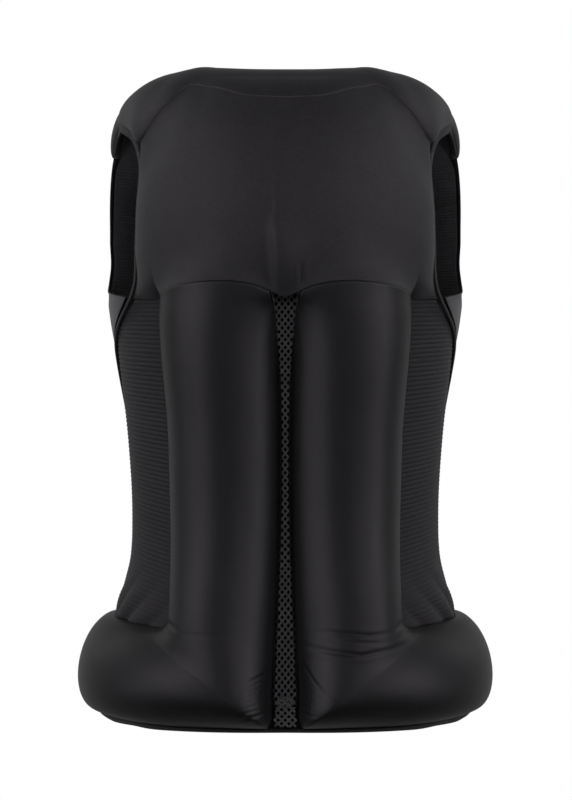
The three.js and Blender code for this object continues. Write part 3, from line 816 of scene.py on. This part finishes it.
def spine_mesh():
    def high(angle):
        return PAD_BOTTOM(angle).height - SEAM

    def flat(_, height):
        return MESH_OFFSET + MESH_THICKNESS / 2 + NET_RISE * smoothstep(height, *NET_TOP)

    def fold_top(angle):
        size, pace = FOLD_WAVE
        return NET_LOW + FOLD + size * np.sin(pace * angle)

    def fold_half(height):
        return FOLD_HALF - FOLD_NARROWS * (height - NET_LOW) / FOLD

    def fold(x, height):
        up = np.clip((height - NET_LOW) / FOLD, 0, 1)
        start, more, curve = FOLD_OUT
        bow, right = FOLD_BOW
        return flat(x, height) + start + more * (1 - up) ** curve - bow * (x - right) ** 2

    parts = net_strands(NET_LOW + FOLD - FOLD_LAP, high, net_half, flat, NET_PITCH, STRAND)
    return joined(parts + net_strands(NET_LOW, fold_top, fold_half, fold, FOLD_PITCH, FOLD_STRAND))


def spine_lining():
    across, up = grid(18, 180)
    half = SPINE_EDGE(mix(BACKING_LOW, PAD_BOTTOM(0).height, up)).edge - BACKING_GAP
    angle = half * mix(-1, 1, across)
    height = mix(BACKING_LOW, PAD_BOTTOM(np.abs(angle)).height - SEAM / 2, up)
    return shell(off_body(angle, height, LINING), off_body(angle, height, 0))


BINDING_TOP = -62  # height at which the edging turns forward under the shoulder
BINDING_ARCH = (66, 102)
ARCH_STEP = 5.6  # length round the wearer of the two degrees that the slope is taken over
BINDING_PASSES = 6


def binding_route(count):
    """The line of the edging up the side seam and round the armhole."""
    height = np.linspace(BINDING_END, BINDING_TOP, count)
    route = [off_body(BINDING_LINE(height).angle, height, BINDING_OFFSET(height).offset)]
    angle = np.linspace(*BINDING_ARCH, count // 4)
    slope = YOKE_EDGE(angle + 1).height - YOKE_EDGE(angle - 1).height
    level = YOKE_EDGE(angle).height - BINDING_DROP * np.hypot(1, slope / ARCH_STEP)
    route.append(off_body(angle, level, BINDING_OFFSET(BINDING_TOP).offset))
    points = np.concatenate(route)
    for _ in range(BINDING_PASSES):
        points[1:-1] = (points[:-2] + 2 * points[1:-1] + points[2:]) / 4
    length = run(points)
    return followed(points, length, np.linspace(0, length[-1], 4 * count))


TAPE_POINTS = 480
TAPE_SIDES = 10
TAPE_HALF = 2
TAPE_RISE = 1.5
FACING_HALF = 4.6
FACING = (0.755, 0.83, 0.93, 0.97)  # shares of the tape where it widens into the facing, and ends


def facing(share):
    """How far the tape has widened into the facing."""
    start, full, fade, end = FACING
    return smoothstep(share, start, full) * (1 - smoothstep(share, fade, end))


def on_facing(k, _):
    return k / TAPE_SIDES / (TAPE_POINTS - 1) > mix(*FACING[:2], 0.5)


def armhole_binding():
    route = binding_route(TAPE_POINTS // 4)
    wide = facing(np.linspace(0, 1, TAPE_POINTS))
    radii = np.stack([mix(TAPE_HALF, FACING_HALF, wide), np.full(TAPE_POINTS, TAPE_RISE)], -1)
    return tube(route, radii, TAPE_SIDES, unit(route * (1, 1, 0)))


ZIP_OFFSET = 3
ZIP_RIDGE = (1.4, 0.45)  # height of the closure's middle, and its width
ZIP_ROLL = (0.8, 0.15)


def front_zip():
    reach = 180 - ZIP_EDGE - ZIP_CLEARANCE
    across, up = grid(36, 240)
    side = mix(-1, 1, across)
    height = mix(HEM_BOTTOM, ZIP_TOP, up)
    ridge, wide = ZIP_RIDGE
    cover = ZIP_OFFSET + ZIP_THICKNESS - ridge + ridge * np.exp(-((side / wide) ** 2))
    cover = cover - rolled(1 - np.abs(side), *ZIP_ROLL)
    outer = off_body(180 + side * reach, height, cover)
    inner = off_body(180 + side * reach, height, ZIP_OFFSET)
    return shell(outer, inner)


HEM_FACE = 0.7  # share of the band that shows, under the part that is tucked into its seam
SIDE_LEAN = 13  # how far the band's bottom turns in at the hips
HEM_INSET = 9  # how deep the tucked part lies under the hip roll
SPINE_INSET = 28.5
FRONT_INSET = 2
INSET_SPAN = (7, 12)  # angles between which the inset of the valley ends
LEAN_START = (50, 65)  # angles between which the lean at the hips begins
LEAN_END = (95, 115)
LEAN_CURVE = 1.5
HEM_GAP = 0.05  # between the band and the closure


def hem_band():
    end = ZIP_EDGE - HEM_GAP
    across, step = grid(420, 18)
    angle = mix(-end, end, across)
    up = np.clip(step / HEM_FACE, 0, 1)
    tuck = smoothstep(step, HEM_FACE, 1)
    height = mix(HEM_BOTTOM, hem_line(angle) - HEM_TUCK, up) + (HEM_TUCK - SEAM) * tuck
    aside = np.abs(angle)
    beside = smoothstep(aside, *LEAN_START) * (1 - smoothstep(aside, *LEAN_END))
    base = HEM_OFFSET(aside).offset - mix(HEM_LEAN, SIDE_LEAN, beside) * (1 - up) ** LEAN_CURVE
    inset = mix(SPINE_INSET, HEM_INSET, smoothstep(aside, *INSET_SPAN))
    inset = np.where(aside < BLADDER.values[-1, 0], inset, FRONT_INSET) * tuck
    bulge = BAND_THICKNESS - 1 + np.sin(math.pi * up)
    outer = off_body(angle, height, base + bulge - inset)
    return shell(outer, off_body(angle, height, base - inset))


def add(name, made, material, slot, *nodes, trim=None):
    """A piece that stands for nodes of the solids."""
    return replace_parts(piece(name, *made, material, slot, trim), *nodes)


def on_rim(_, face):
    """The test for the faces between the front and the back of a shell."""
    return len(face) == 3


def behind(steps):
    """The test for the faces of a cover that lie behind its outer sheet."""
    return lambda k, _: k >= steps[0] * steps[1]


def shaded(points):
    """The test for the faces of the net, with these points, that lie in the shade of the columns."""

    def test(_, face):
        x, _, height = points[face].mean(0)
        margin = NET_MARGIN * (1 - smoothstep(height, *NET_TOP))
        return abs(x) > net_half(height) - margin

    return test


# The covers that gas fills. A cloth simulation settles a coarse copy of each with its seams held.
# Each has its form, the steps of its grid and of the coarse copy, how full it is, its side, its marks
# and its cloth.

COVERS = {
    "upper_back_pad": (pad_face, (198, 126), (33, 21), 0.9, 1, PAD_MARKS, PAD_COVER),
    "shoulder_yoke": (yoke_face, (54, 330), (9, 55), 0.9, 1, (), PAD_COVER),
    "back_bladder_right": (bladder_face, (138, 288), (23, 48), 0.95, 1, BLADDER_MARKS_RIGHT, COVER),
    "back_bladder_left": (bladder_face, (138, 288), (23, 48), 0.95, -1, BLADDER_MARKS_LEFT, COVER),
    "front_panel_right": (front_face, (102, 210), (17, 35), 0.6, 1, (), WING_COVER),
    "front_panel_left": (front_face, (102, 210), (17, 35), 0.6, -1, (), WING_COVER),
}
SWELL = 1  # how much smaller a cover starts than it ends
FRAMES = 20
MOST = 1.6  # furthest that a point may end from the drawn form
PUCKER = 0.12  # seeded unevenness of the cloth
EVENING = 6  # passes that even out the moves, for a taut cloth
SEED = 11
SEAM_SHARE = 0.2  # share of a cover beside each seam over which it is held less and less
GAS = {
    "quality": 6, "mass": 0.2, "tension_stiffness": 40, "compression_stiffness": 40,
    "shear_stiffness": 8, "bending_stiffness": 8, "use_pressure": True, "uniform_pressure_force": 4,
    "vertex_group_mass": "seam",
}


def settled(sheets):
    """How far the points of each sheet move under gas pressure, as a list of grids."""
    random = np.random.default_rng(SEED)
    starts, faces, held, first = [], [], [], 0
    for outer, inner in sheets:
        rows, columns = outer.shape[:2]
        down = np.linspace(0, 1, rows)[:, None]
        right = np.linspace(0, 1, columns)[None, :]
        nearest = np.minimum(np.minimum(down, 1 - down), np.minimum(right, 1 - right))
        inside = np.clip(nearest / SEAM_SHARE, 0, 1)
        normal = outward(outer, inner)
        depth = inside * (SWELL + PUCKER * random.standard_normal((rows, columns)))
        starts.append((outer - normal * depth[..., None]).reshape(-1, 3))
        ids = first + np.arange(rows * columns).reshape(rows, columns)
        cells = quads(ids)
        if np.sum(turn_of(outer) * normal) < 0:
            cells = cells[:, ::-1]
        faces += cells.tolist()
        held += ids[inside == 0].tolist()
        first += rows * columns
    start = np.concatenate(starts)
    mesh = bpy.data.meshes.new("settling")
    mesh.from_pydata((start * MM).tolist(), [], faces)
    cloth_sheet = bpy.data.objects.new("settling", mesh)
    bpy.context.scene.collection.objects.link(cloth_sheet)
    cloth_sheet.vertex_groups.new(name="seam").add(held, 1, "REPLACE")
    cloth_mod = cloth_sheet.modifiers.new("gas", "CLOTH")
    cloth_mod.point_cache.frame_start = 1
    cloth_mod.point_cache.frame_end = FRAMES
    cloth_mod.collision_settings.use_collision = False
    for key, value in GAS.items():
        setattr(cloth_mod.settings, key, value)
    cloth_mod.settings.effector_weights.gravity = 0
    for number in range(1, FRAMES + 1):
        bpy.context.scene.frame_set(number)
    view_layer = bpy.context.evaluated_depsgraph_get()
    result = cloth_sheet.evaluated_get(view_layer).to_mesh()
    end = np.empty(len(start) * 3)
    result.vertices.foreach_get("co", end)
    bpy.data.objects.remove(cloth_sheet)
    bpy.data.meshes.remove(mesh)
    bpy.context.scene.frame_set(1)
    moves, first = [], 0
    for outer, _ in sheets:
        count = outer.shape[0] * outer.shape[1]
        move = end.reshape(-1, 3)[first : first + count].reshape(outer.shape) / MM - outer
        size = np.linalg.norm(move, axis=-1, keepdims=True)
        move = move * np.minimum(1, MOST / np.maximum(size, 1e-9))
        for _ in range(EVENING):
            sides = move[:-2, 1:-1] + move[2:, 1:-1] + move[1:-1, :-2] + move[1:-1, 2:]
            move[1:-1, 1:-1] = (4 * move[1:-1, 1:-1] + sides) / 8
        moves.append(move)
        first += count
    return moves


def finer(values, across, along):
    """A coarse grid of values, put smoothly on a finer one."""
    rows, columns, width = values.shape
    down = spline(np.linspace(0, 1, rows), values.reshape(rows, -1), np.linspace(0, 1, along + 1))
    turned = down.reshape(along + 1, columns, width).transpose(1, 0, 2).reshape(columns, -1)
    done = spline(np.linspace(0, 1, columns), turned, np.linspace(0, 1, across + 1))
    return done.reshape(across + 1, along + 1, width).transpose(1, 0, 2)


def turned_to(side, *grids):
    """Grids of points on the right side, 1, or mirrored to the left, -1."""
    return [points * (side, 1, 1) for points in grids]


coarse = [turned_to(side, *face(*grid(*few))) for face, _, few, _, side, *_ in COVERS.values()]
moves = settled(coarse)
surfaces = {}
for (node_name, (face, steps, _, fill, side, marks, skin)), move in zip(COVERS.items(), moves):
    outer, inner = turned_to(side, *face(*grid(*steps)))
    outer = outer + finer(move, *steps)
    normal = outward(outer, inner)
    outer = outer + normal * relief(outer, marks)[..., None]
    surfaces[node_name] = outer, normal
    cover_name = node_name.replace("panel", "cover") if "front" in node_name else f"{node_name}_cover"
    # The faces behind a cover's outer sheet are painted shade: near black on the front covers, the
    # darker backing cloth on the shoulder yoke.
    back = SHADE if "front" in node_name else BACKING_AND_SHADE if "yoke" in node_name else None
    trim = (back, behind(steps)) if back else None
    cover = add(cover_name, shell(outer, inner), skin, "cover", node_name, trim=trim)


# Stitches

STITCH_PITCH = 3.2
STITCH_LENGTH = 2.4
STITCH = 0.34
STITCH_FORM = ((0, -0.6, 0.4), (0.2, 0.5, 1), (0.8, 0.5, 1), (1, -0.6, 0.4))  # place, rise, thickness


def stitches(route, normal):
    """A row of small stitches along a route, half sunk in the cloth."""
    route, normal = np.asarray(route), np.asarray(normal)
    length = run(route)
    share, rise, thick = np.array(STITCH_FORM).T
    parts = []
    for start in np.arange(1, length[-1] - STITCH_LENGTH, STITCH_PITCH):
        place = start + STITCH_LENGTH * share
        up = followed(normal, length, place)
        path = followed(route, length, place) + up * STITCH * rise[:, None]
        parts.append(tube(path, STITCH * thick[:, None], STRAND_SIDES, up))
    return parts


def edge_line(node_name, column, first, last):
    """A line along a cover, `column` steps in from its edge, between two shares of its length."""
    outer, normal = surfaces[node_name]
    rows = slice(round(first * (len(outer) - 1)), round(last * (len(outer) - 1)) + 1)
    return outer[rows, column], normal[rows, column]


seams = [edge_line("shoulder_yoke", 1, 0.26, 0.74)]
for word in ("right", "left"):
    seams.append(edge_line(f"back_bladder_{word}", -2, 0.04, 0.44))
    seams.append(edge_line(f"front_panel_{word}", 2, 0.56, 0.98))
    seams.append(edge_line(f"front_panel_{word}", -2, 0.0, 0.98))

for side, word in ((1, "right"), (-1, "left")):
    knit, tape, lining = side_panel(), armhole_binding(), front_lining()
    if side < 0:
        knit, tape, lining = mirrored(*knit), mirrored(*tape), mirrored(*lining)
    knit = add(f"side_panel_knit_{word}", knit, RIB_KNIT, "rib_knit", f"side_panel_{word}")
    tape = add(
        f"armhole_tape_{word}", tape, EDGING, "edging", f"armhole_binding_{word}",
        trim=(HEM_TAPE, on_facing),
    )
    # The lining's rims take the near-black cloth as painted shade.
    inside = add(
        f"front_lining_mesh_{word}", lining, INSIDE, "lining", f"front_lining_{word}",
        trim=(SHADE, on_rim),
    )
strands = spine_mesh()
# The net's edges take the darker backing cloth as painted shade from the columns.
net = add("spine_net", strands, NET, "net", "spine_mesh", trim=(BACKING_AND_SHADE, shaded(strands[0])))
backing = add("spine_backing", spine_lining(), BACKING_AND_SHADE, "lining", "spine_lining")
add("front_closure", front_zip(), CLOSURE, "closure", "front_zip")
band = add("hem_band_tape", hem_band(), HEM_TAPE, "edging", "hem_band")

thread = joined([part for seam in seams for part in stitches(*seam)])
piece("seam_stitches", *thread, THREAD, "edging")


# Floor, light and camera

scene = bpy.context.scene
scene.view_settings.view_transform = "Standard"

FLOOR_HEIGHT = -1.35  # where the wearer would stand
FLOOR_RADIUS = 4.8
pale = bpy.data.materials.new("pale_floor")
pale.use_nodes = True
set_inputs(pale.node_tree.nodes["Principled BSDF"], {
    "Base Color": (0.8, 0.8, 0.8, 1), "Roughness": 0.9,
    "Emission Color": (1, 1, 1, 1), "Emission Strength": 0.55,
})
bpy.ops.mesh.primitive_circle_add(
    vertices=128, radius=FLOOR_RADIUS, fill_type="NGON", location=(0, 0, FLOOR_HEIGHT)
)
floor = bpy.context.object
floor.name = "floor"
floor.data.materials.append(pale)
floor.visible_diffuse = False
floor.visible_glossy = False

FILL = 0.1  # light from all round
BACKDROP = 0.4  # light from the white wall behind the vest
GROUND = 0.45  # share of it that is left at the floor
CEILING = 0.3  # and overhead

world = bpy.data.worlds.new("studio")
scene.world = world
world.use_nodes = True
sky = world.node_tree
connect = sky.links.new
shown = sky.nodes["Background"]
set_inputs(shown, {"Color": (1, 1, 1, 1), "Strength": 1})
lit = node(sky, "ShaderNodeBackground")
set_inputs(lit, {"Color": (1, 1, 1, 1)})
toward = node(sky, "ShaderNodeTexCoord")
axes = node(sky, "ShaderNodeSeparateXYZ")
path = node(sky, "ShaderNodeLightPath")
either = node(sky, "ShaderNodeMixShader")
connect(toward.outputs["Generated"], axes.inputs["Vector"])


def eased(source, start, end, low, high):
    """A value that goes smoothly from low to high while the source goes from start to end."""
    found = node(sky, "ShaderNodeMapRange", interpolation_type="SMOOTHSTEP")
    set_inputs(found, {"From Min": start, "From Max": end, "To Min": low, "To Max": high})
    connect(source, found.inputs["Value"])
    return found.outputs["Result"]


wall = eased(axes.outputs["Y"], 0, 0.5, FILL, BACKDROP)
ground = eased(axes.outputs["Z"], -0.7, 0.1, GROUND, 1)
ceiling = eased(axes.outputs["Z"], 0.15, 0.7, 1, CEILING)
dimmed = combined(sky, "MULTIPLY", ground, ceiling)
connect(combined(sky, "MULTIPLY", wall, dimmed), lit.inputs["Strength"])
connect(path.outputs["Is Camera Ray"], either.inputs["Fac"])
connect(lit.outputs["Background"], either.inputs[1])
connect(shown.outputs["Background"], either.inputs[2])
connect(either.outputs["Shader"], sky.nodes["World Output"].inputs["Surface"])


def softbox(name, place, aim, size, power):
    light = bpy.data.lights.new(name, "AREA")
    light.shape = "RECTANGLE"
    light.size, light.size_y = size
    light.energy = power
    made = bpy.data.objects.new(name, light)
    scene.collection.objects.link(made)
    made.location = place
    made.rotation_mode = "QUATERNION"
    made.rotation_quaternion = (Vector(aim) - Vector(place)).to_track_quat("-Z", "Y")


softbox("left_softbox", (-2.3, -1.5, 0.3), (0, 0, -0.3), (0.6, 1.8), 24.5)
softbox("right_softbox", (2.3, -1.5, 0.3), (0, 0, -0.3), (0.6, 1.8), 24.5)
softbox("left_kicker", (-1.7, 0.7, 0.9), (-0.15, 0, -0.05), (0.5, 0.8), 4)
softbox("right_kicker", (1.7, 0.7, 0.9), (0.15, 0, -0.05), (0.5, 0.8), 4)
softbox("front_softbox", (0, -3.0, 0.5), (0, 0, -0.3), (1.6, 0.9), 6)

CAMERA_SIDE = 0.0007  # the vest stands this much left of the picture's middle

camera_data = bpy.data.cameras.new("camera")
camera_data.sensor_width = 24
camera_data.lens = 90
camera = bpy.data.objects.new("camera", camera_data)
scene.collection.objects.link(camera)
camera.location = (CAMERA_SIDE, -VIEW_DISTANCE * MM, VIEW_HEIGHT * MM)
camera.rotation_euler = (math.pi / 2, 0, 0)
scene.camera = camera
